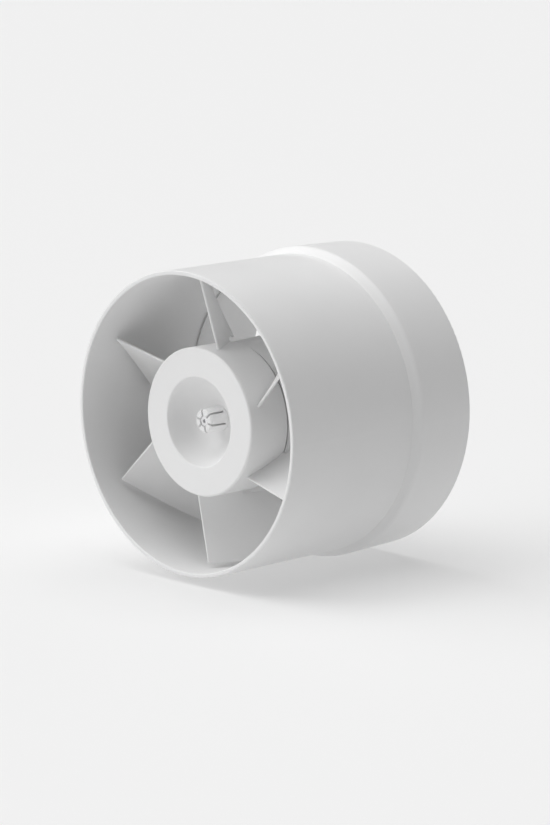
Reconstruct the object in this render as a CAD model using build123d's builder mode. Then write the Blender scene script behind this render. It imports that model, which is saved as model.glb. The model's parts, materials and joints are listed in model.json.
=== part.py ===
"""In-line axial extractor fan for a round 125 mm duct.

The duct axis is +Y: air enters at the rear rim, passes the motor and then the impeller,
and leaves at the front rim (y = 0). +Z is up and the origin is the centre of the front
rim. "Depth" is the distance behind that rim, and a "front" or "rear" value is a depth. Angles are measured about the duct
axis from +X towards +Z. All lengths are in millimetres and all angles in degrees.
"""
import os
from math import cos, radians, sin

from build123d import *

os.makedirs("parts", exist_ok=True)

# Fits
RUNNING_GAP = 0.03
FIXED_GAP = 0.02
HOLE_GAP = 0.1
OVERCUT = 1.0

# Casing: a duct spigot at the front and a duct socket at the rear, with a flare between
SPIGOT_R = 62.0
CASING_WALL = 1.8
CASING_BORE_R = SPIGOT_R - CASING_WALL
LENGTH = 100.0
CREASE = 67.8
FLARE_R = 64.1
FLARE_REAR = 70.1
FLARE_ROUND = 2.6
FLARE_TURN = 44.0
REAR_RIM_R = 64.0
SOCKET_R = 62.6
STEP_FRONT = 69.2
STEP_REAR = 71.2
RIM_ROUND = 0.5

# Cable entry through the casing's side, with its grommet
WIRE_ANGLE = 180
WIRE_DEPTH = 57.0
WIRE_HOLE_R = 3.8
WIRE_WAY_R = 2.6
GROMMET_INSET = 0.7
GROMMET_END = 3.6
GROMMET_FLANGE = 0.9
GROMMET_FLANGE_THICKNESS = 1.4

# Four radial struts hold the motor cup: three are screwed to bosses, one carries the wires
STRUT_ANGLES = (0, 90, 270)
STRUT_FRONT = 46.8
STRUT_REAR = 63.0
STRUT_RAKE = 0.7
STRUT_THICKNESS = 2.6
WIRE_STRUT_THICKNESS = 8.0
WIRE_STRUT_END = 2.2
WIRE_FOOT_END = 0.3
WIRE_FOOT_FRONT = 62.2
WIRE_FOOT_REAR = 63.8
LUG_FRONT = 57.2
LUG_REAR = 62.6
LUG_WIDTH = 8.0
LUG_CORNER = 1.2
LUG_LENGTH = 8.2
LUG_INSET = 0.3
BOSS_INNER_R = 52.6
BOSS_FRONT = 47.0
RING_FRONT = 62.0
RING_REAR = 66.0
RING_WALL = 0.7

# Screws that hold the struts' lugs to the casing bosses
MOUNT_SCREW_CIRCLE = 56.0
MOUNT_SCREW_R = 1.28
MOUNT_PILOT_R = 1.3
MOUNT_HOLE_R = 1.7
MOUNT_HEAD_R = 2.7
MOUNT_HEAD = 2.0
MOUNT_HEAD_ROUND = 0.8
MOUNT_TIP = 49.6
PILOT_END = 1.5

# Motor cup
CUP_FRONT = 30.0
CUP_REAR = 67.0
CUP_FRONT_R = 29.6
CUP_REAR_R = 31.0
CUP_BORE_R = 28.0
CUP_NECK_R = 26.6

# Stator stack, its four poles and their shading rings
STACK_FRONT = 36.0
STACK_REAR = 50.0
STACK_LENGTH = STACK_REAR - STACK_FRONT
STACK_MIDDLE = (STACK_FRONT + STACK_REAR) / 2
POLE_ANGLES = (0, 90, 180, 270)
ROTOR_R = 12.0
AIR_GAP = 0.4
POLE_FACE_R = ROTOR_R + AIR_GAP
YOKE_R = 20.8
POLE_WIDTH = 7.0
SHOE_R = 14.6
SHOE_WIDTH = 15.0
SHOE_DEPTH = 2.8
SHADING_SLOT_WIDTH = 1.4
SHADING_SLOT_DEPTH = 1.9
SHADING_SLOT_OFFSET = 3.2
SHADING_R = 14.3
SHADING_NEAR = 3.75
SHADING_FAR = 7.55
SHADING_BAR = 1.05
SHADING_THICKNESS = 1.3

# Coils on bobbins, and the thermal cutout on one of them
BOBBIN_INNER_R = SHOE_R + 0.1
BOBBIN_OUTER_R = YOKE_R - 1.3
BOBBIN_WALL = 0.8
BOBBIN_FLANGE = 0.7
COIL_WALL = 2.4
COIL_GAP = 0.05
CUTOUT_WIDTH = 5.0
CUTOUT_THICKNESS = 0.9
CUTOUT_LENGTH = 3.4

# Bearing brackets and the four ties that clamp them to the stack
FRONT_PLATE = 30.2
REAR_PLATE = 54.2
PLATE_THICKNESS = 1.6
HOUSING_R = 6.6
WINDOW_CIRCLE = 14.5
WINDOW_HEIGHT = 13.0
WINDOW_WIDTH = 9.0
WINDOW_CORNER = 2.5
TIE_ANGLES = (45, 135, 225, 315)
TIE_CIRCLE = 23.6
TIE_R = 1.25
TIE_HEAD_R = 2.1
TIE_HEAD = 1.3
TIE_TIP = 58.4
SPACER_R = 2.2
NUT_R = 2.5
NUT_THICKNESS = 1.9

# Shaft, its plain bearings, felts, washers and rings
SHAFT_R = 2.2
SHAFT_FRONT = 11.7
SHAFT_REAR = 60.0
SHAFT_CHAMFER = 0.25
CENTRE_HOLE_R = 0.75
CENTRE_HOLE_DEPTH = 1.8
BEARING_R = 4.0
BEARING_LENGTH = 4.4
BEARING_CHAMFER = 0.3
FRONT_BEARING = 27.0
REAR_BEARING = 54.6
FELT_THICKNESS = 1.2
WASHER_R = 3.7
WASHER_THICKNESS = 0.5
WASHER_GAP = 0.2
RETAINER_R = 3.5
RETAINER_THICKNESS = 0.6
RETAINER_OPENING = 1.6

# Rotor core and its squirrel cage
BAR_COUNT = 13
BAR_R = 0.9
BAR_CIRCLE = 10.4
END_RING = 1.6
END_RING_INNER_R = 8.4
END_RING_OUTER_R = 11.6

# Terminal carrier under the rear cover, with the terminal block on it
CARRIER_FRONT = 60.4
CARRIER_REAR = 61.8
BLOCK_FRONT = CARRIER_REAR + FIXED_GAP
BLOCK_HEIGHT = 18.0
BLOCK_WIDTH = 9.0
BLOCK_DEPTH = 3.8
BLOCK_CORNER = 1.0
TERMINAL_Z = 4.4
TERMINAL_X = 2.3
CONTACT_DEPTH = 1.7
CONTACT_THICKNESS = 2.3
CONTACT_HEIGHT = 3.5
CONTACT_INSET = 0.3
CONTACT_BORE_R = 0.7
TERMINAL_SCREW_R = 0.8
TERMINAL_HEAD_R = 1.15
TERMINAL_HEAD_FRONT = 2.95
TERMINAL_HEAD = 0.9
LEAD_R = 0.6
LEAD_X = -12.5
LEAD_START = (-16.0, 53.6)
LEAD_BEND = 2.2
LEAD_HOLE_R = 1.0

# Cable clamp on the terminal carrier
CLAMP_X = -18.5
CLAMP_POST_Z = 6.0
CLAMP_POST_R = 2.4
CLAMP_POST = 1.2
CLAMP_FRONT = CARRIER_REAR + CLAMP_POST + FIXED_GAP
CLAMP_WIDTH = 4.4
CLAMP_HEIGHT = 17.0
CLAMP_THICKNESS = 1.2
CLAMP_CORNER = 1.5
CLAMP_SCREW_R = 0.85
CLAMP_HEAD_R = 1.8
CLAMP_HEAD = 1.0
CLAMP_SCREW_LENGTH = 2.6
CABLE_PASS_WIDTH = 5.0
CABLE_PASS_HEIGHT = 9.0

# Rear cover of the motor cup and its two screws
COVER_REAR = 69.6
COVER_EDGE = 1.0
COVER_SLOPE = 2.5
COVER_ROUND = 1.6
COVER_RECESS_R = 20.0
COVER_RECESS_REAR = 68.2
COVER_LIP = 2.0
COVER_LIP_WALL = 1.6
COVER_SCREW_CIRCLE = 25.6
COVER_SCREW_ANGLES = (45, 225)
COVER_SCREW_R = 1.2
COVER_BOSS_R = 2.6
COVER_BOSS_ROOT = 0.5
COVER_BOSS_CLEARANCE = 0.3
COVER_WEB = 3.4
COVER_WEB_OFFSET = 2.0
COVER_SCREW_HOLE_R = 1.4
COVER_COUNTERBORE_R = 2.6
COVER_HEAD_R = 2.3
COVER_HEAD = 1.3
COVER_HEAD_SEAT = 68.2
COVER_SCREW_LENGTH = 6.2

# Impeller: a hollow hub with a bowl in its face
HUB_R = 30.3
HUB_FRONT = 8.4
HUB_REAR = 28.5
HUB_WALL = 1.8
HUB_EDGE_ROUND = 0.9
BOWL_R = 18.2
BOWL_WAIST = (14.0, 16.9)
BOWL_FLOOR_R = 4.0
BOWL_FLOOR = 20.4
BOWL_ROUND = 0.7

# Impeller blades. A section's edges are (distance round the duct, depth) pairs: front, rear
BLADE_COUNT = 6
BLADE_ANGLE = 45.0
BLADE_ROOT_FRONT = (-13.4, 13.7)
BLADE_ROOT_REAR = (3.4, 39.5)
BLADE_ROOT_CAMBER = 0.6
BLADE_TIP_FRONT = (-12.8, 11.8)
BLADE_TIP_REAR = (14.5, 39.5)
BLADE_TIP_CAMBER = 1.5
BLADE_TIP_R = 58.3
BLADE_INNER_R = 24.0
BLADE_OUTER_R = 60.3
BLADE_THICKNESS = 1.5
BLADE_EDGE = 1.05
BLADE_NOSE = 0.45
BLADE_ZONE = (9.0, 43.6)
OVERHANG_R = 31.9

# Collet on the front of the hub, split into fingers that grip the shaft
COLLET_FRONT = 11.3
COLLET_R = 4.75
COLLET_BASE_R = 5.1
COLLET_CHAMFER = 0.6
COLLET_SLOT = 0.9
COLLET_SLOT_REAR = 19.0
SLEEVE_REAR = 25.4


def across(depth):
    """Plane across the duct at a depth, with its normal towards the front."""
    return Plane.XZ.offset(-depth)


def along(angle):
    """Plane through the duct axis: local x is radial and local y is depth."""
    a = radians(angle)
    return Plane(origin=(0, 0, 0), x_dir=(cos(a), 0, sin(a)), z_dir=(-sin(a), 0, cos(a)))


def facing(angle, radius):
    """Plane at a radius, with its normal towards the axis: local x is round the duct, y is depth."""
    a = radians(angle)
    return Plane(
        origin=(radius * cos(a), 0, radius * sin(a)),
        x_dir=(-sin(a), 0, cos(a)),
        z_dir=(-cos(a), 0, -sin(a)),
    )


def ring_spots(radius, angles):
    """Places on a circle about the duct axis, each turned to its own angle."""
    return [
        Location((radius * cos(radians(a)), radius * sin(radians(a)), 0), (0, 0, a)) for a in angles
    ]


def turn(*outline, mode=Mode.ADD):
    """Revolve a closed outline of (radius, depth) points about the duct axis."""
    with BuildSketch(mode=Mode.PRIVATE) as profile:
        with BuildLine():
            Polyline(*outline, close=True)
        make_face()
    revolve(profile.sketch, axis=Axis.Y, mode=mode)


def tube(inner, outer, front, rear, mode=Mode.ADD):
    """A plain ring about the duct axis between two depths."""
    turn((inner, front), (outer, front), (outer, rear), (inner, rear), mode=mode)


def pegs(radius, spots, front, rear, mode=Mode.ADD):
    """Round pegs along the duct axis at the given places, between two depths."""
    with BuildSketch(across(front), mode=Mode.PRIVATE) as sections:
        with Locations(*spots):
            Circle(radius)
    extrude(sections.sketch, amount=front - rear, mode=mode)


def drill(radius, spots, front, rear):
    """Round holes along the duct axis at the given places, between two depths."""
    pegs(radius, spots, front, rear, mode=Mode.SUBTRACT)


def blocks(width, height, corner, spots, front, rear, mode=Mode.ADD):
    """Blocks with rounded corners along the duct axis: local x is the width."""
    with BuildSketch(across(front), mode=Mode.PRIVATE) as sections:
        with Locations(*spots):
            RectangleRounded(width, height, corner)
    extrude(sections.sketch, amount=front - rear, mode=mode)


def drive_slots(length, width, spots, front, rear, turns=(0,)):
    """Screwdriver slots, one or two crossed, in screw heads at the given places."""
    with BuildSketch(across(front), mode=Mode.PRIVATE) as slots:
        with Locations(*spots):
            for angle in turns:
                Rectangle(length, width, rotation=angle)
    extrude(slots.sketch, amount=front - rear, mode=Mode.SUBTRACT)


def side_bore(radius, from_axis, length, mode):
    """A round peg or hole towards the axis from the side where the cable enters."""
    with BuildSketch(Plane.YZ.offset(-from_axis), mode=Mode.PRIVATE) as section:
        with Locations((WIRE_DEPTH, 0)):
            Circle(radius)
    extrude(section.sketch, amount=length, mode=mode)


def cover_bosses(clearance, front, rear, mode=Mode.ADD):
    """Bosses for the cover screws, joined to the cup's wall, or notches that clear them."""
    with BuildSketch(across(front), mode=Mode.PRIVATE) as sections:
        with Locations(*COVER_SCREW_SPOTS):
            Circle(COVER_BOSS_R + clearance)
            with Locations((COVER_WEB_OFFSET, 0)):
                Rectangle(COVER_WEB, 2 * (COVER_BOSS_R + clearance))
    extrude(sections.sketch, amount=front - rear, mode=mode)


def circles(builder, radius, depth):
    """Circular edges of a part about the duct axis, at one radius and depth."""
    return builder.edges().filter_by(GeomType.CIRCLE).filter_by(
        lambda edge: abs(edge.radius - radius) + abs(edge.arc_center.Y - depth) < 0.01
    )


def save(part, name):
    """Label a finished piece and write its STEP file."""
    part.label = name
    export_step(part, f"parts/{name}.step")


# Places on circles about the duct axis, or across it, that several pieces share
MOUNT_SCREW_SPOTS = ring_spots(MOUNT_SCREW_CIRCLE, STRUT_ANGLES)
TIE_SPOTS = ring_spots(TIE_CIRCLE, TIE_ANGLES)
COVER_SCREW_SPOTS = ring_spots(COVER_SCREW_CIRCLE, COVER_SCREW_ANGLES)
BAR_SPOTS = ring_spots(BAR_CIRCLE, [index * 360 / BAR_COUNT for index in range(BAR_COUNT)])
CLAMP_SPOTS = [(CLAMP_X, CLAMP_POST_Z), (CLAMP_X, -CLAMP_POST_Z)]
LEAD_SPOTS = [(LEAD_X, TERMINAL_Z), (LEAD_X, -TERMINAL_Z)]
TERMINAL_SPOTS = [(x, z) for x in (-TERMINAL_X, TERMINAL_X) for z in (-TERMINAL_Z, TERMINAL_Z)]

# ---------------------------------------------------------------- casing and mounting

with BuildPart() as casing:
    with BuildSketch():
        with BuildLine():
            cone = Line((SPIGOT_R, CREASE), (FLARE_R, FLARE_REAR))
            crown = JernArc(cone @ 1, cone % 1, FLARE_ROUND, FLARE_TURN)
            Polyline(
                crown @ 1,
                (REAR_RIM_R, LENGTH),
                (SOCKET_R, LENGTH),
                (SOCKET_R, STEP_REAR),
                (CASING_BORE_R, STEP_FRONT),
                (CASING_BORE_R, 0),
                (SPIGOT_R, 0),
                cone @ 0,
            )
        make_face()
    revolve(axis=Axis.Y)
    fillet(circles(casing, SPIGOT_R, 0) + circles(casing, CASING_BORE_R, 0), RIM_ROUND)
    fillet(circles(casing, REAR_RIM_R, LENGTH) + circles(casing, SOCKET_R, LENGTH), RIM_ROUND)
    # screw bosses on the inside of the spigot, in front of the strut lugs
    boss_outer_r = SPIGOT_R - CASING_WALL / 2
    blocks(
        boss_outer_r - BOSS_INNER_R,
        LUG_WIDTH,
        LUG_CORNER,
        ring_spots((BOSS_INNER_R + boss_outer_r) / 2, STRUT_ANGLES),
        BOSS_FRONT,
        LUG_FRONT,
    )
    drill(MOUNT_PILOT_R, MOUNT_SCREW_SPOTS, BOSS_FRONT + PILOT_END, LUG_FRONT + OVERCUT)
    side_bore(WIRE_HOLE_R, SPIGOT_R + OVERCUT, 3 * CASING_WALL, Mode.SUBTRACT)
save(casing.part, "casing")

with BuildPart() as motor_mount:
    # cup, wider at its rear, with a neck that clamps the stator stack
    turn(
        (CUP_BORE_R, CUP_FRONT),
        (CUP_FRONT_R, CUP_FRONT),
        (CUP_REAR_R, CUP_REAR),
        (CUP_BORE_R, CUP_REAR),
        (CUP_BORE_R, CARRIER_FRONT),
        (CUP_NECK_R, CARRIER_FRONT),
        (CUP_NECK_R, STACK_REAR + FIXED_GAP),
        (CUP_BORE_R, STACK_REAR + FIXED_GAP),
    )
    # screwed struts, cut short in front of their lugs to clear the casing bosses
    for angle in STRUT_ANGLES:
        with BuildSketch(along(angle)):
            with BuildLine():
                Polyline(
                    (CUP_FRONT_R, STRUT_FRONT),
                    (MOUNT_SCREW_CIRCLE - LUG_WIDTH / 2, STRUT_FRONT + STRUT_RAKE),
                    (MOUNT_SCREW_CIRCLE - LUG_WIDTH / 2, LUG_REAR),
                    (CUP_FRONT_R, STRUT_REAR),
                    close=True,
                )
            make_face()
        extrude(amount=STRUT_THICKNESS / 2, both=True)
    blocks(
        LUG_LENGTH,
        LUG_WIDTH,
        LUG_CORNER,
        ring_spots(MOUNT_SCREW_CIRCLE - LUG_INSET, STRUT_ANGLES),
        LUG_FRONT + FIXED_GAP,
        LUG_REAR + FIXED_GAP,
    )
    # thin ring that joins the struts and lines the casing
    tube(CASING_BORE_R - RING_WALL, CASING_BORE_R - FIXED_GAP, RING_FRONT, RING_REAR)
    # hollow strut for the supply wires, ending at the grommet with a foot on the ring
    wire_strut_r = CASING_BORE_R - WIRE_STRUT_END
    wire_foot_r = CASING_BORE_R - WIRE_FOOT_END
    with BuildSketch(along(WIRE_ANGLE)):
        with BuildLine():
            Polyline(
                (CUP_FRONT_R, STRUT_FRONT),
                (wire_strut_r, STRUT_FRONT + STRUT_RAKE),
                (wire_strut_r, WIRE_FOOT_FRONT),
                (wire_foot_r, WIRE_FOOT_FRONT),
                (wire_foot_r, WIRE_FOOT_REAR),
                (CUP_FRONT_R, STRUT_REAR),
                close=True,
            )
        make_face()
    extrude(amount=WIRE_STRUT_THICKNESS / 2, both=True)
    side_bore(WIRE_WAY_R, SPIGOT_R, SPIGOT_R - CUP_NECK_R + 2 * OVERCUT, Mode.SUBTRACT)
    drill(MOUNT_HOLE_R, MOUNT_SCREW_SPOTS, LUG_FRONT - OVERCUT, LUG_REAR + OVERCUT)
    # bosses for the cover screws, inside the rear of the cup
    cover_bosses(0, CARRIER_FRONT - COVER_BOSS_ROOT, CUP_REAR)
    drill(COVER_SCREW_R + FIXED_GAP, COVER_SCREW_SPOTS, CARRIER_FRONT + OVERCUT, CUP_REAR)
save(motor_mount.part, "motor_mount")

with BuildPart() as mount_screws:
    head_front = LUG_REAR + 2 * FIXED_GAP
    pegs(MOUNT_HEAD_R, MOUNT_SCREW_SPOTS, head_front, head_front + MOUNT_HEAD)
    fillet(mount_screws.faces().filter_by(Axis.Y).group_by(Axis.Y)[-1].edges(), MOUNT_HEAD_ROUND)
    pegs(MOUNT_SCREW_R, MOUNT_SCREW_SPOTS, MOUNT_TIP, head_front)
    drive_slots(3.0, 0.7, MOUNT_SCREW_SPOTS, head_front + 1.2, head_front + 3, turns=(0, 90))
save(mount_screws.part, "mount_screws")

with BuildPart() as cable_grommet:
    # a plug in the casing's side hole, with a flange on the inside of the casing
    plug_r = SPIGOT_R - GROMMET_INSET
    end_r = SPIGOT_R - GROMMET_END
    side_bore(WIRE_HOLE_R - FIXED_GAP, plug_r, plug_r - end_r, Mode.ADD)
    side_bore(
        WIRE_HOLE_R + GROMMET_FLANGE,
        end_r + GROMMET_FLANGE_THICKNESS,
        GROMMET_FLANGE_THICKNESS,
        Mode.ADD,
    )
    side_bore(WIRE_WAY_R, SPIGOT_R, GROMMET_END + OVERCUT, Mode.SUBTRACT)
save(cable_grommet.part, "cable_grommet")

# ---------------------------------------------------------------- motor, fixed side

with BuildPart() as stator_core:
    with BuildSketch(across(STACK_FRONT)):
        Circle(CUP_BORE_R - FIXED_GAP)
        Circle(YOKE_R, mode=Mode.SUBTRACT)
        with Locations(*ring_spots((POLE_FACE_R + YOKE_R) / 2, POLE_ANGLES)):
            Rectangle(YOKE_R - POLE_FACE_R + 2 * OVERCUT, POLE_WIDTH)
        with Locations(*ring_spots(SHOE_R - SHOE_DEPTH / 2, POLE_ANGLES)):
            Rectangle(SHOE_DEPTH, SHOE_WIDTH)
        Circle(POLE_FACE_R, mode=Mode.SUBTRACT)
        # slots in the pole faces for the shading rings
        with Locations(*ring_spots(POLE_FACE_R, POLE_ANGLES)):
            with Locations((0, SHADING_SLOT_OFFSET)):
                Rectangle(2 * SHADING_SLOT_DEPTH, SHADING_SLOT_WIDTH, mode=Mode.SUBTRACT)
        with Locations(*TIE_SPOTS):
            Circle(TIE_R + HOLE_GAP, mode=Mode.SUBTRACT)
    extrude(amount=-STACK_LENGTH)
save(stator_core.part, "stator_core")


def pole_sleeve(angle, outer_r, inner_r, clearance, wall):
    """A rectangular sleeve round one stator pole, between two radii from the axis."""
    bore_width = POLE_WIDTH + 2 * clearance
    bore_length = STACK_LENGTH + 2 * clearance
    with BuildSketch(facing(angle, outer_r)) as section:
        with Locations((0, STACK_MIDDLE)):
            RectangleRounded(bore_width + 2 * wall, bore_length + 2 * wall, wall * 0.8)
            Rectangle(bore_width, bore_length, mode=Mode.SUBTRACT)
    extrude(section.sketch, amount=outer_r - inner_r)


with BuildPart() as coil_bobbins:
    flange_wall = BOBBIN_WALL + COIL_WALL
    for angle in POLE_ANGLES:
        pole_sleeve(angle, BOBBIN_OUTER_R, BOBBIN_INNER_R, FIXED_GAP, BOBBIN_WALL)
        pole_sleeve(
            angle, BOBBIN_INNER_R + BOBBIN_FLANGE, BOBBIN_INNER_R, FIXED_GAP, flange_wall
        )
        pole_sleeve(
            angle, BOBBIN_OUTER_R, BOBBIN_OUTER_R - BOBBIN_FLANGE, FIXED_GAP, flange_wall
        )
save(coil_bobbins.part, "coil_bobbins")

with BuildPart() as stator_coils:
    for angle in POLE_ANGLES:
        pole_sleeve(
            angle,
            BOBBIN_OUTER_R - BOBBIN_FLANGE - COIL_GAP,
            BOBBIN_INNER_R + BOBBIN_FLANGE + COIL_GAP,
            BOBBIN_WALL + 2 * FIXED_GAP,
            COIL_WALL - 4 * COIL_GAP,
        )
save(stator_coils.part, "stator_coils")

with BuildPart() as shading_rings:
    # each copper ring lies in its slot and goes round the outside of the pole shoe
    for angle in POLE_ANGLES:
        with BuildSketch(facing(angle, SHADING_R), mode=Mode.PRIVATE) as ring_section:
            with Locations(((SHADING_NEAR + SHADING_FAR) / 2, STACK_MIDDLE)):
                Rectangle(
                    SHADING_FAR - SHADING_NEAR + 2 * SHADING_BAR, STACK_LENGTH + 2 * SHADING_BAR
                )
                Rectangle(SHADING_FAR - SHADING_NEAR, STACK_LENGTH + HOLE_GAP, mode=Mode.SUBTRACT)
        extrude(ring_section.sketch, amount=SHADING_THICKNESS)
    shading_overcut = SHADING_BAR + OVERCUT
    tube(
        0,
        POLE_FACE_R + HOLE_GAP,
        STACK_FRONT - shading_overcut,
        STACK_REAR + shading_overcut,
        mode=Mode.SUBTRACT,
    )
save(shading_rings.part, "shading_rings")


def bearing_bracket(plate_front, housing_front, housing_rear, plate_r):
    """A thin spoked plate across the motor, with a housing for the bearing in its middle."""
    plate_rear = plate_front + PLATE_THICKNESS
    tube(BEARING_R, HOUSING_R, housing_front, housing_rear)
    tube(BEARING_R, plate_r, plate_front, plate_rear)
    blocks(
        WINDOW_WIDTH,
        WINDOW_HEIGHT,
        WINDOW_CORNER,
        ring_spots(WINDOW_CIRCLE, POLE_ANGLES),
        plate_front - OVERCUT,
        plate_rear + OVERCUT,
        mode=Mode.SUBTRACT,
    )
    drill(TIE_R + HOLE_GAP, TIE_SPOTS, plate_front - OVERCUT, plate_rear + OVERCUT)


with BuildPart() as front_bracket:
    bearing_bracket(
        FRONT_PLATE, FRONT_BEARING, FRONT_PLATE + PLATE_THICKNESS, CUP_BORE_R - FIXED_GAP
    )
save(front_bracket.part, "front_bracket")

with BuildPart() as rear_bracket:
    bearing_bracket(REAR_PLATE, REAR_PLATE, REAR_BEARING + BEARING_LENGTH, CUP_NECK_R - FIXED_GAP)
save(rear_bracket.part, "rear_bracket")

for name, front in (("front_bearing", FRONT_BEARING), ("rear_bearing", REAR_BEARING)):
    with BuildPart() as bearing:
        tube(SHAFT_R + RUNNING_GAP, BEARING_R - FIXED_GAP, front, front + BEARING_LENGTH)
        outer_edges = bearing.edges().filter_by(GeomType.CIRCLE).group_by(SortBy.RADIUS)[-1]
        chamfer(outer_edges, BEARING_CHAMFER)
    save(bearing.part, name)

felt_fronts = (
    ("front_oil_felt", FRONT_PLATE + PLATE_THICKNESS + HOLE_GAP),
    ("rear_oil_felt", REAR_PLATE - HOLE_GAP - FELT_THICKNESS),
)
for name, front in felt_fronts:
    with BuildPart() as felt:
        tube(BEARING_R, HOUSING_R - 0.5, front, front + FELT_THICKNESS)
    save(felt.part, name)

with BuildPart() as tie_screws:
    head_rear = FRONT_PLATE - FIXED_GAP
    pegs(TIE_HEAD_R, TIE_SPOTS, head_rear - TIE_HEAD, head_rear)
    pegs(TIE_R, TIE_SPOTS, head_rear, TIE_TIP)
    drive_slots(5.0, 0.6, TIE_SPOTS, head_rear - 2 * TIE_HEAD, head_rear - 0.8)
save(tie_screws.part, "tie_screws")

with BuildPart() as tie_nuts:
    with BuildSketch(across(REAR_PLATE + PLATE_THICKNESS + FIXED_GAP)):
        with Locations(*TIE_SPOTS):
            RegularPolygon(NUT_R, 6)
            Circle(TIE_R + FIXED_GAP, mode=Mode.SUBTRACT)
    extrude(amount=-NUT_THICKNESS)
save(tie_nuts.part, "tie_nuts")

with BuildPart() as tie_spacers:
    for front, rear in ((FRONT_PLATE + PLATE_THICKNESS, STACK_FRONT), (STACK_REAR, REAR_PLATE)):
        pegs(SPACER_R, TIE_SPOTS, front + FIXED_GAP, rear - FIXED_GAP)
    drill(TIE_R + HOLE_GAP, TIE_SPOTS, FRONT_PLATE, REAR_PLATE + OVERCUT)
save(tie_spacers.part, "tie_spacers")

with BuildPart() as thermal_cutout:
    cutout_depth = STACK_REAR + BOBBIN_WALL + COIL_WALL + CUTOUT_THICKNESS / 2 + COIL_GAP
    with BuildSketch(facing(WIRE_ANGLE, BOBBIN_OUTER_R - OVERCUT)):
        with Locations((0, cutout_depth)):
            RectangleRounded(CUTOUT_WIDTH, CUTOUT_THICKNESS, CUTOUT_THICKNESS / 3)
    extrude(amount=CUTOUT_LENGTH)
save(thermal_cutout.part, "thermal_cutout")

# ---------------------------------------------------------------- wiring under the rear cover

with BuildPart() as terminal_carrier:
    tube(0, CUP_BORE_R - FIXED_GAP, CARRIER_FRONT, CARRIER_REAR)
    cut_front = CARRIER_FRONT - OVERCUT
    cut_rear = CARRIER_REAR + OVERCUT
    cover_bosses(COVER_BOSS_CLEARANCE, cut_front, cut_rear, mode=Mode.SUBTRACT)
    drill(LEAD_HOLE_R, LEAD_SPOTS, cut_front, cut_rear)
    blocks(
        CABLE_PASS_WIDTH,
        CABLE_PASS_HEIGHT,
        CLAMP_CORNER,
        [(CLAMP_X - CABLE_PASS_WIDTH, 0)],
        cut_front,
        cut_rear,
        mode=Mode.SUBTRACT,
    )
    # posts for the clamp screws
    pegs(CLAMP_POST_R, CLAMP_SPOTS, CARRIER_REAR, CARRIER_REAR + CLAMP_POST)
    drill(CLAMP_SCREW_R + FIXED_GAP, CLAMP_SPOTS, CARRIER_FRONT + PILOT_END / 3, cut_rear + CLAMP_POST)
save(terminal_carrier.part, "terminal_carrier")

with BuildPart() as terminal_block:
    blocks(BLOCK_WIDTH, BLOCK_HEIGHT, BLOCK_CORNER, [(0, 0)], BLOCK_FRONT, BLOCK_FRONT + BLOCK_DEPTH)
    # a brass contact lies in a tunnel through each pole, under its two screw holes
    with BuildSketch(Plane.YZ.offset(-BLOCK_WIDTH / 2 - OVERCUT)):
        for z in (TERMINAL_Z, -TERMINAL_Z):
            with Locations((BLOCK_FRONT + CONTACT_DEPTH, z)):
                Rectangle(CONTACT_THICKNESS + HOLE_GAP, CONTACT_HEIGHT + HOLE_GAP)
    extrude(amount=BLOCK_WIDTH + 2 * OVERCUT, mode=Mode.SUBTRACT)
    drill(
        TERMINAL_HEAD_R + HOLE_GAP,
        TERMINAL_SPOTS,
        BLOCK_FRONT + CONTACT_DEPTH,
        BLOCK_FRONT + BLOCK_DEPTH + OVERCUT,
    )
save(terminal_block.part, "terminal_block")

with BuildPart() as terminal_contacts:
    with BuildSketch(Plane.YZ.offset(-BLOCK_WIDTH / 2 + CONTACT_INSET)):
        for z in (TERMINAL_Z, -TERMINAL_Z):
            with Locations((BLOCK_FRONT + CONTACT_DEPTH, z)):
                Rectangle(CONTACT_THICKNESS, CONTACT_HEIGHT)
                Circle(CONTACT_BORE_R, mode=Mode.SUBTRACT)
    extrude(amount=BLOCK_WIDTH - 2 * CONTACT_INSET)
    drill(
        TERMINAL_SCREW_R + 0.05,
        TERMINAL_SPOTS,
        BLOCK_FRONT + CONTACT_DEPTH,
        BLOCK_FRONT + BLOCK_DEPTH,
    )
save(terminal_contacts.part, "terminal_contacts")

with BuildPart() as terminal_screws:
    head_front = BLOCK_FRONT + TERMINAL_HEAD_FRONT
    head_rear = head_front + TERMINAL_HEAD
    pegs(TERMINAL_SCREW_R, TERMINAL_SPOTS, head_front - TERMINAL_HEAD, head_front)
    pegs(TERMINAL_HEAD_R, TERMINAL_SPOTS, head_front, head_rear)
    drive_slots(3.0, 0.4, TERMINAL_SPOTS, head_rear - 0.4, head_rear + OVERCUT)
save(terminal_screws.part, "terminal_screws")

with BuildPart() as coil_leads:
    for z in (TERMINAL_Z, -TERMINAL_Z):
        with BuildLine(Plane.XY.offset(z)):
            lead_route = FilletPolyline(
                LEAD_START,
                (LEAD_X, LEAD_START[1] + 3.6),
                (LEAD_X, BLOCK_FRONT + CONTACT_DEPTH),
                (-BLOCK_WIDTH / 2 + 4 * CONTACT_INSET, BLOCK_FRONT + CONTACT_DEPTH),
                radius=LEAD_BEND,
            )
        with BuildSketch(Plane(lead_route @ 0, z_dir=lead_route % 0)):
            Circle(LEAD_R)
        sweep(path=lead_route)
save(coil_leads.part, "coil_leads")

with BuildPart() as cable_clamp:
    clamp_rear = CLAMP_FRONT + CLAMP_THICKNESS
    blocks(CLAMP_WIDTH, CLAMP_HEIGHT, CLAMP_CORNER, [(CLAMP_X, 0)], CLAMP_FRONT, clamp_rear)
    drill(CLAMP_SCREW_R + 2 * HOLE_GAP, CLAMP_SPOTS, CLAMP_FRONT - OVERCUT, clamp_rear + OVERCUT)
save(cable_clamp.part, "cable_clamp")

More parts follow.
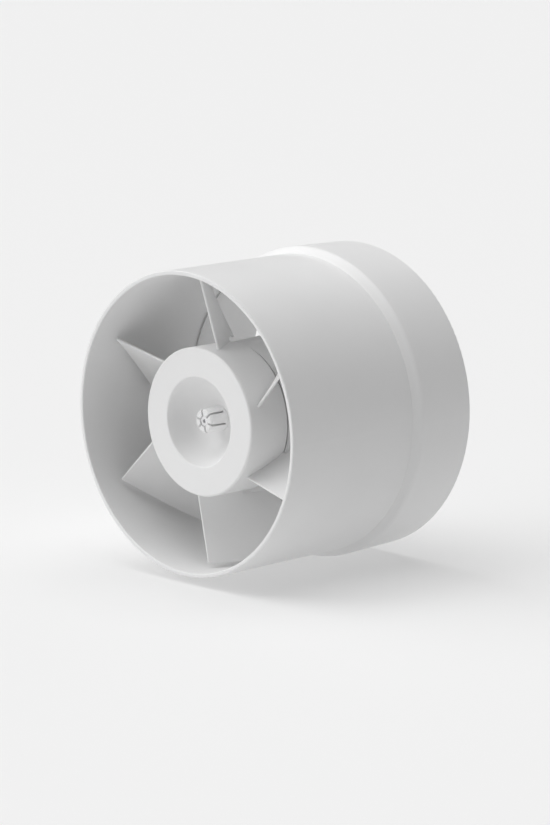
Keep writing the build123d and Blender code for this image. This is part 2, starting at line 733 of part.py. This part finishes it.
with BuildPart() as clamp_screws:
    head_front = CLAMP_FRONT + CLAMP_THICKNESS + FIXED_GAP
    pegs(CLAMP_HEAD_R, CLAMP_SPOTS, head_front, head_front + CLAMP_HEAD)
    pegs(CLAMP_SCREW_R, CLAMP_SPOTS, head_front - CLAMP_SCREW_LENGTH, head_front)
save(clamp_screws.part, "clamp_screws")

with BuildPart() as motor_cover:
    cover_front = CUP_REAR + FIXED_GAP
    cover_rear_r = CUP_REAR_R - COVER_SLOPE
    turn(
        (0, cover_front),
        (CUP_REAR_R, cover_front),
        (CUP_REAR_R, CUP_REAR + COVER_EDGE),
        (cover_rear_r, COVER_REAR),
        (0, COVER_REAR),
    )
    fillet(circles(motor_cover, cover_rear_r, COVER_REAR), COVER_ROUND)
    # lip inside the cup, cut away round the screw bosses, and a recess over the terminals
    lip_front = CUP_REAR - COVER_LIP
    tube(
        CUP_BORE_R - COVER_LIP_WALL, CUP_BORE_R - FIXED_GAP, lip_front, CUP_REAR + COVER_EDGE / 2
    )
    tube(0, COVER_RECESS_R, lip_front, COVER_RECESS_REAR, mode=Mode.SUBTRACT)
    cover_bosses(COVER_BOSS_CLEARANCE, lip_front - OVERCUT, cover_front, mode=Mode.SUBTRACT)
    drill(COVER_SCREW_HOLE_R, COVER_SCREW_SPOTS, CUP_REAR - OVERCUT, COVER_REAR + OVERCUT)
    drill(COVER_COUNTERBORE_R, COVER_SCREW_SPOTS, COVER_HEAD_SEAT, COVER_REAR + OVERCUT)
save(motor_cover.part, "motor_cover")

with BuildPart() as cover_screws:
    head_front = COVER_HEAD_SEAT + FIXED_GAP
    head_rear = head_front + COVER_HEAD
    pegs(COVER_HEAD_R, COVER_SCREW_SPOTS, head_front, head_rear)
    pegs(COVER_SCREW_R, COVER_SCREW_SPOTS, head_front - COVER_SCREW_LENGTH, head_front)
    drive_slots(2.8, 0.6, COVER_SCREW_SPOTS, head_rear - 0.6, head_rear + OVERCUT, turns=(0, 90))
save(cover_screws.part, "cover_screws")

# ---------------------------------------------------------------- turning parts


def blade_section(angle, radius):
    """A blade's rounded and cambered section, in the plane that faces the axis at a radius."""
    share = (radius - HUB_R) / (BLADE_TIP_R - HUB_R)
    front = Vector(*BLADE_ROOT_FRONT) * (1 - share) + Vector(*BLADE_TIP_FRONT) * share
    rear = Vector(*BLADE_ROOT_REAR) * (1 - share) + Vector(*BLADE_TIP_REAR) * share
    camber = BLADE_ROOT_CAMBER * (1 - share) + BLADE_TIP_CAMBER * share
    chord = (rear - front).normalized()
    across_chord = Vector(-chord.Y, chord.X)
    edge_step = across_chord * (BLADE_EDGE / 2)
    crown = (front + rear) / 2 + across_chord * camber
    crown_step = across_chord * (BLADE_THICKNESS / 2)
    with BuildSketch(facing(angle, radius), mode=Mode.PRIVATE) as section:
        with BuildLine():
            ThreePointArc(front + edge_step, crown + crown_step, rear + edge_step)
            ThreePointArc(rear + edge_step, rear + chord * BLADE_NOSE, rear - edge_step)
            ThreePointArc(rear - edge_step, crown - crown_step, front - edge_step)
            ThreePointArc(front - edge_step, front - chord * BLADE_NOSE, front + edge_step)
        make_face()
    return section.sketch.face()


with BuildPart() as impeller:
    for index in range(BLADE_COUNT):
        angle = BLADE_ANGLE + index * 360 / BLADE_COUNT
        loft([blade_section(angle, BLADE_INNER_R), blade_section(angle, BLADE_OUTER_R)])
    # blades end at the tip circle, inside the hub's shell and, behind it, clear of the motor cup
    root_r = HUB_R - HUB_WALL / 2
    zone_front, zone_rear = BLADE_ZONE
    turn(
        (root_r, zone_front),
        (BLADE_TIP_R, zone_front),
        (BLADE_TIP_R, zone_rear),
        (OVERHANG_R, zone_rear),
        (OVERHANG_R, HUB_REAR),
        (root_r, HUB_REAR),
        mode=Mode.INTERSECT,
    )
    # hub shell, hollow from behind, with a bowl in its face
    tube(0, HUB_R, HUB_FRONT, HUB_REAR)
    fillet(circles(impeller, HUB_R, HUB_FRONT), HUB_EDGE_ROUND)
    tube(0, HUB_R - HUB_WALL, HUB_FRONT + HUB_WALL, HUB_REAR + OVERCUT, mode=Mode.SUBTRACT)
    for wall, mode in ((HUB_WALL, Mode.ADD), (0, Mode.SUBTRACT)):
        with BuildSketch() as bowl:
            with BuildLine():
                mouth = (BOWL_R + wall, HUB_FRONT + wall / 10)
                waist = (BOWL_WAIST[0] + 0.7 * wall, BOWL_WAIST[1] + 0.7 * wall)
                floor = (BOWL_FLOOR_R, BOWL_FLOOR + wall)
                Polyline(floor, (0, floor[1]), (0, mouth[1]), mouth)
                ThreePointArc(mouth, waist, floor)
            make_face()
        revolve(axis=Axis.Y, mode=mode)
    fillet(circles(impeller, BOWL_R, HUB_FRONT), BOWL_ROUND)
    # split collet in front of the bowl's floor and a plain sleeve behind it
    turn(
        (0, COLLET_FRONT),
        (COLLET_R - COLLET_CHAMFER, COLLET_FRONT),
        (COLLET_R, COLLET_FRONT + COLLET_CHAMFER),
        (COLLET_BASE_R, BOWL_FLOOR + COLLET_CHAMFER),
        (COLLET_BASE_R, SLEEVE_REAR),
        (0, SLEEVE_REAR),
    )
    slot_front = COLLET_FRONT - OVERCUT
    tube(0, SHAFT_R + FIXED_GAP, slot_front, SLEEVE_REAR + OVERCUT, mode=Mode.SUBTRACT)
    collet_turns = [BLADE_ANGLE + 360 / BLADE_COUNT * index for index in range(BLADE_COUNT // 2)]
    drive_slots(14.0, COLLET_SLOT, [(0, 0)], slot_front, COLLET_SLOT_REAR, turns=collet_turns)
save(impeller.part, "impeller")

with BuildPart() as shaft:
    tube(0, SHAFT_R, SHAFT_FRONT, SHAFT_REAR)
    chamfer(shaft.edges().filter_by(GeomType.CIRCLE), SHAFT_CHAMFER)
    drill(CENTRE_HOLE_R, [(0, 0)], SHAFT_FRONT - OVERCUT, SHAFT_FRONT + CENTRE_HOLE_DEPTH)
save(shaft.part, "shaft")

with BuildPart() as rotor_core:
    tube(SHAFT_R + FIXED_GAP, ROTOR_R, STACK_FRONT, STACK_REAR)
    drill(BAR_R + FIXED_GAP, BAR_SPOTS, STACK_FRONT - OVERCUT, STACK_REAR + OVERCUT)
save(rotor_core.part, "rotor_core")

with BuildPart() as rotor_cage:
    cage_front = STACK_FRONT - END_RING
    cage_rear = STACK_REAR + END_RING
    tube(END_RING_INNER_R, END_RING_OUTER_R, cage_front, STACK_FRONT - FIXED_GAP)
    tube(END_RING_INNER_R, END_RING_OUTER_R, STACK_REAR + FIXED_GAP, cage_rear)
    pegs(BAR_R, BAR_SPOTS, cage_front + END_RING / 2, cage_rear - END_RING / 2)
save(rotor_cage.part, "rotor_cage")

washer_fronts = (
    FRONT_BEARING + BEARING_LENGTH + WASHER_GAP,
    REAR_BEARING - WASHER_GAP - WASHER_THICKNESS,
)
with BuildPart() as thrust_washers:
    for front in washer_fronts:
        tube(SHAFT_R + FIXED_GAP, WASHER_R, front, front + WASHER_THICKNESS)
save(thrust_washers.part, "thrust_washers")

ring_fronts = (
    washer_fronts[0] + WASHER_THICKNESS + HOLE_GAP,
    washer_fronts[1] - HOLE_GAP - RETAINER_THICKNESS,
)
with BuildPart() as retaining_rings:
    # each ring is open at one side, to spring over the shaft
    for front in ring_fronts:
        ring_rear = front + RETAINER_THICKNESS
        tube(SHAFT_R + FIXED_GAP, RETAINER_R, front, ring_rear)
        drive_slots(RETAINER_R, RETAINER_OPENING, [(RETAINER_R, 0)], front - 0.1, ring_rear + 0.1)
save(retaining_rings.part, "retaining_rings")
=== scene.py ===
"""Looks, light and camera for the in-line duct fan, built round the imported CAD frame."""
import json
import math

import bpy
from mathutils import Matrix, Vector


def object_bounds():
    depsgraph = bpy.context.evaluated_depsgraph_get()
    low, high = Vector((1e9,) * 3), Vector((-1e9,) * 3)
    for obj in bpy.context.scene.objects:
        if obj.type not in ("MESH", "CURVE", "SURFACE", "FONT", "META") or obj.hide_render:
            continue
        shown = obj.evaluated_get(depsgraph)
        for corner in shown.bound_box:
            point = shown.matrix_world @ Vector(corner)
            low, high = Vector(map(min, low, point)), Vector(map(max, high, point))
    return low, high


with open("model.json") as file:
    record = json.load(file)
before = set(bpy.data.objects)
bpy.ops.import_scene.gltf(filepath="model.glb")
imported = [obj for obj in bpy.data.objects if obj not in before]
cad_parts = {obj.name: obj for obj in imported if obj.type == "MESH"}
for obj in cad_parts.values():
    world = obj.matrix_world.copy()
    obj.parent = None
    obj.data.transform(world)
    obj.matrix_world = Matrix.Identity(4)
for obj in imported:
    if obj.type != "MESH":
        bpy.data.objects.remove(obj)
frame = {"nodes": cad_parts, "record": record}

CAD_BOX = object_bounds()
MM = 0.001
WHITE = (1.0, 1.0, 1.0, 1.0)

# Camera, aimed at the middle of the fan
CAMERA_AZIMUTH = 45.18
CAMERA_ELEVATION = 10.87
CAMERA_DISTANCE = 1.4134
CAMERA_LENS = 150.5
SENSOR_WIDTH = 36.0
AIM_OFFSET = (0.0, 1.73 * MM, -1.87 * MM)

# Light: directions towards each soft light and the irradiance that it gives
LIGHTS = {
    "left_bank": ((-0.8, -0.4, 1.0), 0.46),
    "top_bank": ((0.0, 0.0, 1.0), 0.48),
    "side_bank": ((-0.4, -0.9, 0.4), 0.25),
    "back_bank": ((0.0, 1.0, 1.0), 0.1),
}
SUN_SPREAD = 60.0
AMBIENT = 0.05
FLOOR_SIZE = 14.0
FLOOR_TONE = 0.5
FLOOR_GLOW = 0.36
FLOOR_GAP = 0.2 * MM
FLOOR_ROUGHNESS = 0.9
FLOOR_SHINE = 0.1
BACKDROP = 1.0

# Moulded plastic: sizes of its patterns, and how far they change its tone, gloss and height
CLOUD_SCALE = 22.0
GRAIN_SCALE = 2600.0
RIPPLE_SCALE = 60.0
CLOUD_LIGHTER = 1.012
CLOUD_DARKER = 0.985
PLASTIC_IOR = 1.5
PLASTIC_SHINE = 0.42
RIPPLE_BUMP = (0.08, 0.2 * MM)
GRAIN_BUMP = (0.05, 0.02 * MM)


# ------------------------------------------------------------------ node helpers

def new_material(name):
    """An empty node material with its shader and output."""
    material = bpy.data.materials.new(name)
    material.use_nodes = True
    nodes = material.node_tree.nodes
    nodes.clear()
    output = nodes.new("ShaderNodeOutputMaterial")
    shader = nodes.new("ShaderNodeBsdfPrincipled")
    material.node_tree.links.new(shader.outputs["BSDF"], output.inputs["Surface"])
    return material, shader


def node(material, kind, links=None, **values):
    """Add a node, set its plain inputs by name and link the others."""
    made = material.node_tree.nodes.new(kind)
    for key, value in values.items():
        made.inputs[key.replace("_", " ")].default_value = value
    for key, source in (links or {}).items():
        material.node_tree.links.new(source, made.inputs[key])
    return made


def object_space(material):
    """Object coordinates, so that grain keeps its size on every part."""
    return material.node_tree.nodes.new("ShaderNodeTexCoord").outputs["Object"]


def noise(material, space, scale, detail=3.0, roughness=0.55):
    """A 3D noise pattern, as a number from 0 to 1."""
    return node(
        material, "ShaderNodeTexNoise", {"Vector": space}, Scale=scale, Detail=detail, Roughness=roughness
    ).outputs["Fac"]


def remap(material, source, low, high, start=0.3, end=0.7):
    """Spread the middle of a pattern between two numbers."""
    return node(
        material,
        "ShaderNodeMapRange",
        {"Value": source},
        From_Min=start,
        From_Max=end,
        To_Min=low,
        To_Max=high,
    ).outputs["Result"]


def blend(material, factor, first, second):
    """Mix two colours by a factor."""
    mix = material.node_tree.nodes.new("ShaderNodeMix")
    mix.data_type = "RGBA"
    mix.inputs["A"].default_value = (*first, 1.0)
    mix.inputs["B"].default_value = (*second, 1.0)
    material.node_tree.links.new(factor, mix.inputs["Factor"])
    return mix.outputs["Result"]


def bump(material, shader, height, strength, distance, below=None):
    """Put a height pattern on the shader's normal, over an earlier bump if there is one."""
    links = {"Height": height}
    if below:
        links["Normal"] = below
    made = node(material, "ShaderNodeBump", links, Strength=strength, Distance=distance)
    material.node_tree.links.new(made.outputs["Normal"], shader.inputs["Normal"])
    return made.outputs["Normal"]


def shade(shade_value):
    """A neutral grey."""
    return (shade_value, shade_value, shade_value)


# ------------------------------------------------------------------ materials

def moulded_plastic(name, tone, roughness, grain=1.0):
    """Satin injection-moulded plastic: fine spark-eroded grain and faint flow clouds."""
    material, shader = new_material(name)
    space = object_space(material)
    clouds = noise(material, space, CLOUD_SCALE, 4.0)
    fine = noise(material, space, GRAIN_SCALE, 2.0)
    ripple = noise(material, space, RIPPLE_SCALE, 2.0)
    lighter = tuple(min(1.0, channel * CLOUD_LIGHTER) for channel in tone)
    darker = tuple(channel * CLOUD_DARKER for channel in tone)
    colour = blend(material, remap(material, clouds, 0.0, 1.0), darker, lighter)
    material.node_tree.links.new(colour, shader.inputs["Base Color"])
    gloss = remap(material, clouds, roughness - 0.03, roughness + 0.04)
    material.node_tree.links.new(gloss, shader.inputs["Roughness"])
    wavy = bump(material, shader, ripple, *RIPPLE_BUMP)
    grain_strength, grain_depth = GRAIN_BUMP
    bump(material, shader, fine, grain_strength * grain, grain_depth, wavy)
    shader.inputs["IOR"].default_value = PLASTIC_IOR
    shader.inputs["Specular IOR Level"].default_value = PLASTIC_SHINE
    return material


def brushed_metal(name, tone, roughness, streak=900.0):
    """Bare metal with fine turning marks round the duct axis."""
    material, shader = new_material(name)
    space = object_space(material)
    stretched = node(
        material, "ShaderNodeMapping", {"Vector": space}, Scale=(0.06, 1.0, 0.06)
    ).outputs["Vector"]
    marks = noise(material, stretched, streak, 2.0)
    stains = noise(material, space, 120.0, 3.0)
    darker = tuple(channel * 0.82 for channel in tone)
    colour = blend(material, remap(material, stains, 0.0, 1.0), darker, tone)
    material.node_tree.links.new(colour, shader.inputs["Base Color"])
    shader.inputs["Metallic"].default_value = 1.0
    gloss = remap(material, marks, roughness - 0.06, roughness + 0.08)
    material.node_tree.links.new(gloss, shader.inputs["Roughness"])
    bump(material, shader, marks, 0.12, 0.02 * MM)
    return material


def bands(material, space, direction, scale, distortion):
    """Parallel bands across one direction, as a number from 0 to 1."""
    wave = material.node_tree.nodes.new("ShaderNodeTexWave")
    wave.bands_direction = direction
    wave.inputs["Scale"].default_value = scale
    wave.inputs["Distortion"].default_value = distortion
    material.node_tree.links.new(space, wave.inputs["Vector"])
    return wave.outputs["Fac"]


def lamination(name):
    """Stacked electrical steel: thin dark lines across the duct axis."""
    material, shader = new_material(name)
    space = object_space(material)
    sheets = bands(material, space, "Y", 620.0, 0.4)
    rust = noise(material, space, 160.0, 4.0)
    tone = blend(material, remap(material, rust, 0.0, 1.0, 0.45, 0.8), shade(0.16), (0.2, 0.17, 0.15))
    material.node_tree.links.new(tone, shader.inputs["Base Color"])
    shader.inputs["Metallic"].default_value = 0.85
    shader.inputs["Roughness"].default_value = 0.48
    bump(material, shader, sheets, 0.35, 0.05 * MM)
    return material


def winding(name, tone):
    """Enamelled wire wound in close turns."""
    material, shader = new_material(name)
    space = object_space(material)
    turns = bands(material, space, "DIAGONAL", 900.0, 0.8)
    darker = tuple(channel * 0.55 for channel in tone)
    colour = blend(material, turns, darker, tone)
    material.node_tree.links.new(colour, shader.inputs["Base Color"])
    shader.inputs["Metallic"].default_value = 0.75
    shader.inputs["Roughness"].default_value = 0.3
    bump(material, shader, turns, 0.5, 0.08 * MM)
    return material


def felt(name):
    """Oil-soaked wool felt."""
    material, shader = new_material(name)
    space = object_space(material)
    fuzz = noise(material, space, 1500.0, 6.0, 0.75)
    colour = blend(material, remap(material, fuzz, 0.0, 1.0), (0.34, 0.29, 0.2), (0.62, 0.57, 0.44))
    material.node_tree.links.new(colour, shader.inputs["Base Color"])
    shader.inputs["Roughness"].default_value = 0.9
    bump(material, shader, fuzz, 0.7, 0.2 * MM)
    return material


MATERIALS = {
    "casing_plastic": moulded_plastic("casing_plastic", shade(0.87), 0.42),
    "impeller_plastic": moulded_plastic("impeller_plastic", shade(0.88), 0.45),
    "mount_plastic": moulded_plastic("mount_plastic", shade(0.86), 0.48),
    "rubber": moulded_plastic("rubber", (0.62, 0.62, 0.6), 0.75, 2.5),
    "bobbin_plastic": moulded_plastic("bobbin_plastic", (0.66, 0.62, 0.5), 0.4),
    "terminal_plastic": moulded_plastic("terminal_plastic", (0.74, 0.74, 0.71), 0.38),
    "wire_insulation": moulded_plastic("wire_insulation", (0.03, 0.1, 0.42), 0.32),
    "washer_plastic": moulded_plastic("washer_plastic", (0.7, 0.68, 0.58), 0.35),
    "zinc_steel": brushed_metal("zinc_steel", (0.66, 0.67, 0.68), 0.3),
    "shaft_steel": brushed_metal("shaft_steel", (0.86, 0.86, 0.87), 0.24),
    "spring_steel": brushed_metal("spring_steel", shade(0.16), 0.42),
    "bracket_metal": brushed_metal("bracket_metal", (0.6, 0.61, 0.62), 0.45, 300.0),
    "cage_aluminium": brushed_metal("cage_aluminium", (0.66, 0.67, 0.68), 0.4, 300.0),
    "bronze": brushed_metal("bronze", (0.5, 0.32, 0.13), 0.42),
    "contact_brass": brushed_metal("contact_brass", (0.72, 0.52, 0.2), 0.28),
    "copper_bar": brushed_metal("copper_bar", (0.76, 0.36, 0.2), 0.34),
    "cutout_metal": brushed_metal("cutout_metal", (0.62, 0.61, 0.58), 0.34),
    "lamination_steel": lamination("lamination_steel"),
    "copper_wire": winding("copper_wire", (0.62, 0.22, 0.08)),
    "felt": felt("felt"),
}


def dress_nodes():
    """Give every CAD node the finished material of its slot."""
    slots = {part["node"]: part["material_slot"] for part in frame["record"]["subparts"]}
    for name, piece in frame["nodes"].items():
        for slot in piece.material_slots:
            slot.material = MATERIALS[slots[name]]


# ------------------------------------------------------------------ stage, light and camera

def pale_floor():
    """A plain pale floor under the fan, lit a little from within like a light table."""
    bpy.ops.mesh.primitive_plane_add(size=FLOOR_SIZE, location=(0, 0, CAD_BOX[0][2] - FLOOR_GAP))
    floor = bpy.context.object
    floor.name = "studio_floor"
    material, shader = new_material("studio_floor")
    shader.inputs["Base Color"].default_value = (*shade(FLOOR_TONE), 1.0)
    shader.inputs["Emission Color"].default_value = WHITE
    shader.inputs["Emission Strength"].default_value = FLOOR_GLOW
    shader.inputs["Roughness"].default_value = FLOOR_ROUGHNESS
    shader.inputs["Specular IOR Level"].default_value = FLOOR_SHINE
    floor.data.materials.append(material)


def soft_sun(name, direction, irradiance):
    """An even, very soft light from one direction, as from a large studio bank far away."""
    light = bpy.data.lights.new(name, "SUN")
    light.angle = math.radians(SUN_SPREAD)
    light.energy = irradiance * math.pi
    lamp = bpy.data.objects.new(name, light)
    bpy.context.scene.collection.objects.link(lamp)
    lamp.rotation_euler = Vector(direction).to_track_quat("Z", "Y").to_euler()


def ambient():
    """Dim even light from all round, with a plain white backdrop where the camera sees past the floor."""
    world = bpy.data.worlds.new("studio")
    bpy.context.scene.world = world
    world.use_nodes = True
    tree = world.node_tree
    tree.nodes.clear()
    output = tree.nodes.new("ShaderNodeOutputWorld")
    choose = tree.nodes.new("ShaderNodeMixShader")
    seen = tree.nodes.new("ShaderNodeBackground")
    fill = tree.nodes.new("ShaderNodeBackground")
    seen.inputs["Color"].default_value = WHITE
    seen.inputs["Strength"].default_value = BACKDROP
    fill.inputs["Color"].default_value = WHITE
    fill.inputs["Strength"].default_value = AMBIENT
    path = tree.nodes.new("ShaderNodeLightPath")
    tree.links.new(path.outputs["Is Camera Ray"], choose.inputs["Fac"])
    tree.links.new(fill.outputs["Background"], choose.inputs[1])
    tree.links.new(seen.outputs["Background"], choose.inputs[2])
    tree.links.new(choose.outputs["Shader"], output.inputs["Surface"])


def centre():
    """The middle of the fan's box."""
    low, high = CAD_BOX
    return (Vector(low) + Vector(high)) / 2


def camera():
    """A long-lens camera in front of the fan, to its right and a little above."""
    azimuth = math.radians(CAMERA_AZIMUTH)
    elevation = math.radians(CAMERA_ELEVATION)
    towards = Vector(
        (
            math.sin(azimuth) * math.cos(elevation),
            -math.cos(azimuth) * math.cos(elevation),
            math.sin(elevation),
        )
    )
    data = bpy.data.cameras.new("camera")
    data.lens = CAMERA_LENS
    data.sensor_width = SENSOR_WIDTH
    eye = bpy.data.objects.new("camera", data)
    bpy.context.scene.collection.objects.link(eye)
    aim = centre() + Vector(AIM_OFFSET)
    eye.location = aim + towards * CAMERA_DISTANCE
    eye.rotation_euler = (-towards).to_track_quat("-Z", "Y").to_euler()
    bpy.context.scene.camera = eye


dress_nodes()
pale_floor()
ambient()
for name, (direction, irradiance) in LIGHTS.items():
    soft_sun(name, direction, irradiance)
camera()
bpy.context.scene.view_settings.view_transform = "Standard"
